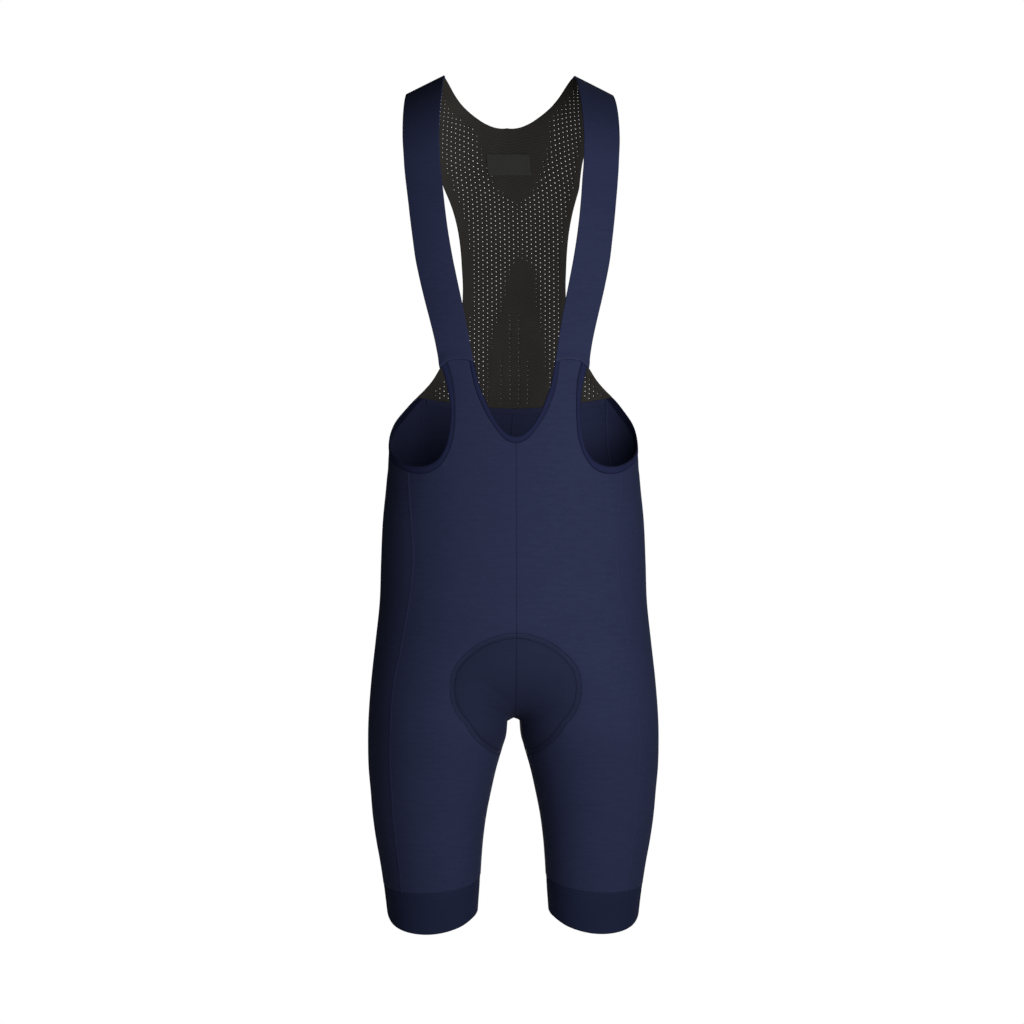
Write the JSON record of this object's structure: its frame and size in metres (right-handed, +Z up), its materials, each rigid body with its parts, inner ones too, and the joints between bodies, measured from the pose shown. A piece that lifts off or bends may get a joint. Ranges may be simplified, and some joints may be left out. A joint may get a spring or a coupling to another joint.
{
  "type": "cycling bib shorts",
  "caption": "Stretch cycling shorts with a V-necked bib, wide braces, an open-net back yoke, gripper leg bands and a sewn-in seat pad",
  "frame": {"origin": "between the shoulders, at the height of the undersides of the braces where they cross the wearer's shoulders", "axes": "+Z up, the front faces -Y, +X is the wearer's left"},
  "size_m": [0.325, 0.2258, 0.9499],
  "materials": {
    "navy_knit": "matt stretch knit with a soft sheen",
    "navy_trim": "folded stretch binding, matt",
    "navy_band": "dense gripper knit, matt",
    "black_net": "open-net warp knit, matt",
    "waist_tape": "narrow elastic tape",
    "pad_cloth": "brushed knit over foam",
    "label_cloth": "woven label, bare"
  },
  "bodies": {
    "root": {"front_panel_left": "navy_knit", "front_panel_right": "navy_knit", "side_panel_left": "navy_knit", "side_panel_right": "navy_knit", "back_panel_left": "navy_knit", "back_panel_right": "navy_knit", "strap_left": "navy_knit", "strap_right": "navy_knit", "armhole_binding_left": "navy_trim", "armhole_binding_right": "navy_trim", "leg_band_left": "navy_band", "leg_band_right": "navy_band", "back_yoke": "black_net", "neck_binding": "navy_trim", "back_waist_tape": "waist_tape", "seat_pad": "pad_cloth", "neck_label": "label_cloth"}
  },
  "joints": []
}
